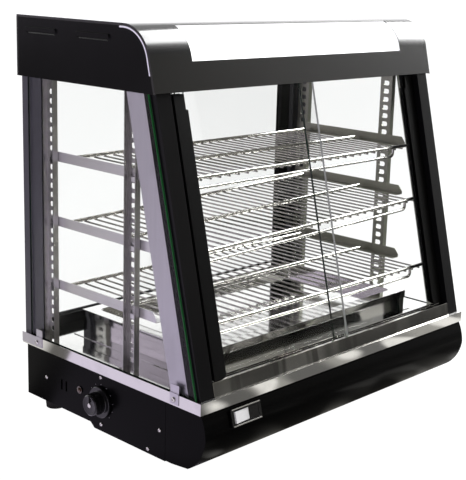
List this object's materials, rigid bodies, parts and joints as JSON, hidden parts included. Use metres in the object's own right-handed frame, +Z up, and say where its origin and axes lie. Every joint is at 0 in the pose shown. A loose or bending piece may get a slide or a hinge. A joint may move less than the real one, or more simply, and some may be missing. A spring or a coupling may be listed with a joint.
{
  "type": "hot food display case",
  "caption": "counter-top heated food display case with slanted sliding glass front, glass sides, wire shelves on slotted standards, water pan and lit top sign box",
  "frame": {"origin": "on the counter, under the middle of the case's overall outline, knob included: the plane of the four feet's undersides, at the middle of the overall width and depth", "axes": "+X to the right seen from the customer's side, -Y towards the customer (the slanted front), +Z up"},
  "size_m": [0.6856, 0.4428, 0.646],
  "materials": {
    "black_enamel": "satin black baked enamel on folded sheet steel",
    "stainless": "brushed stainless sheet",
    "polished_stainless": "polished stainless sheet, near mirror",
    "shelf_chrome": "chrome-plated round wire",
    "galvanised": "plain galvanised sheet, inside and under the base",
    "glass": "clear toughened glass with a faint green edge",
    "sign_acrylic": "opal white acrylic sheet, lit from behind",
    "black_plastic": "satin black moulded plastic",
    "black_rubber": "matt black rubber",
    "zinc_screw": "bright zinc-plated screws",
    "amber_lens": "amber lamp lens and bezel",
    "lamp_glass": "frosted lamp tube",
    "white_plastic": "white moulded terminal block and lamp holders",
    "element_steel": "heat-tinted tubular element"
  },
  "bodies": {
    "case": {"base_pan": "galvanised", "bottom_left_rail": "stainless", "bottom_right_rail": "stainless", "bottom_wire_shelf": "shelf_chrome", "cable_gland": "black_plastic", "ceiling_panel": "polished_stainless", "deck_plate": "polished_stainless", "front_apron": "black_enamel", "front_bottom_track": "polished_stainless", "front_left_post": "black_enamel", "front_left_standard": "stainless", "front_right_post": "black_enamel", "front_right_standard": "stainless", "front_top_track": "black_enamel", "glass_clips": "stainless", "heater_cover": "polished_stainless", "heating_element": "element_steel", "indicator_lamp": "amber_lens", "lamp_holders": "white_plastic", "lamp_tube": "lamp_glass", "left_end_panel": "black_enamel", "left_inner_frame": "stainless", "left_side_glass": "glass", "left_side_panel": "black_enamel", "light_switch_housing": "polished_stainless", "middle_left_rail": "stainless", "middle_right_rail": "stainless", "middle_wire_shelf": "shelf_chrome", "rear_bottom_track": "black_enamel", "rear_left_post": "black_enamel", "rear_left_standard": "stainless", "rear_panel": "black_enamel", "rear_right_post": "black_enamel", "rear_right_standard": "stainless", "rear_top_track": "black_enamel", "right_end_panel": "black_enamel", "right_inner_frame": "stainless", "right_side_glass": "glass", "right_side_panel": "black_enamel", "rubber_feet": "black_rubber", "screws": "zinc_screw", "sign_panel": "sign_acrylic", "terminal_block": "white_plastic", "thermostat": "black_plastic", "top_cover": "black_enamel", "top_left_rail": "stainless", "top_right_rail": "stainless", "top_wire_shelf": "shelf_chrome", "water_pan": "polished_stainless"},
    "front_left_door": {"front_left_door_glass": "glass", "front_left_door_grip": "black_plastic"},
    "front_right_door": {"front_right_door_glass": "glass", "front_right_door_grip": "black_plastic"},
    "rear_left_door": {"rear_left_door_glass": "glass", "rear_left_door_grip": "black_plastic"},
    "rear_right_door": {"rear_right_door_glass": "glass", "rear_right_door_grip": "black_plastic"},
    "knob": {"thermostat_knob": "black_plastic", "thermostat_shaft": "polished_stainless"},
    "light_switch": {"light_switch_rocker": "black_plastic"}
  },
  "joints": [
    {"name": "front_left_door_slide", "type": "slide", "parent": "case", "child": "front_left_door", "axis": [1, 0, 0], "range_m": [0, 0.265]},
    {"name": "front_right_door_slide", "type": "slide", "parent": "case", "child": "front_right_door", "axis": [1, 0, 0], "range_m": [-0.265, 0]},
    {"name": "rear_left_door_slide", "type": "slide", "parent": "case", "child": "rear_left_door", "axis": [1, 0, 0], "range_m": [0, 0.265]},
    {"name": "rear_right_door_slide", "type": "slide", "parent": "case", "child": "rear_right_door", "axis": [1, 0, 0], "range_m": [-0.265, 0]},
    {"name": "thermostat_turn", "type": "hinge", "parent": "case", "child": "knob", "pos_m": [-0.3208, 0.0159, 0.063], "axis": [-1, 0, 0], "range_deg": [-270, 0]},
    {"name": "light_switch_rock", "type": "hinge", "parent": "case", "child": "light_switch", "pos_m": [-0.2348, -0.20611, 0.08967], "axis": [0, 0.2588, 0.9659], "range_deg": [0, 5]}
  ]
}
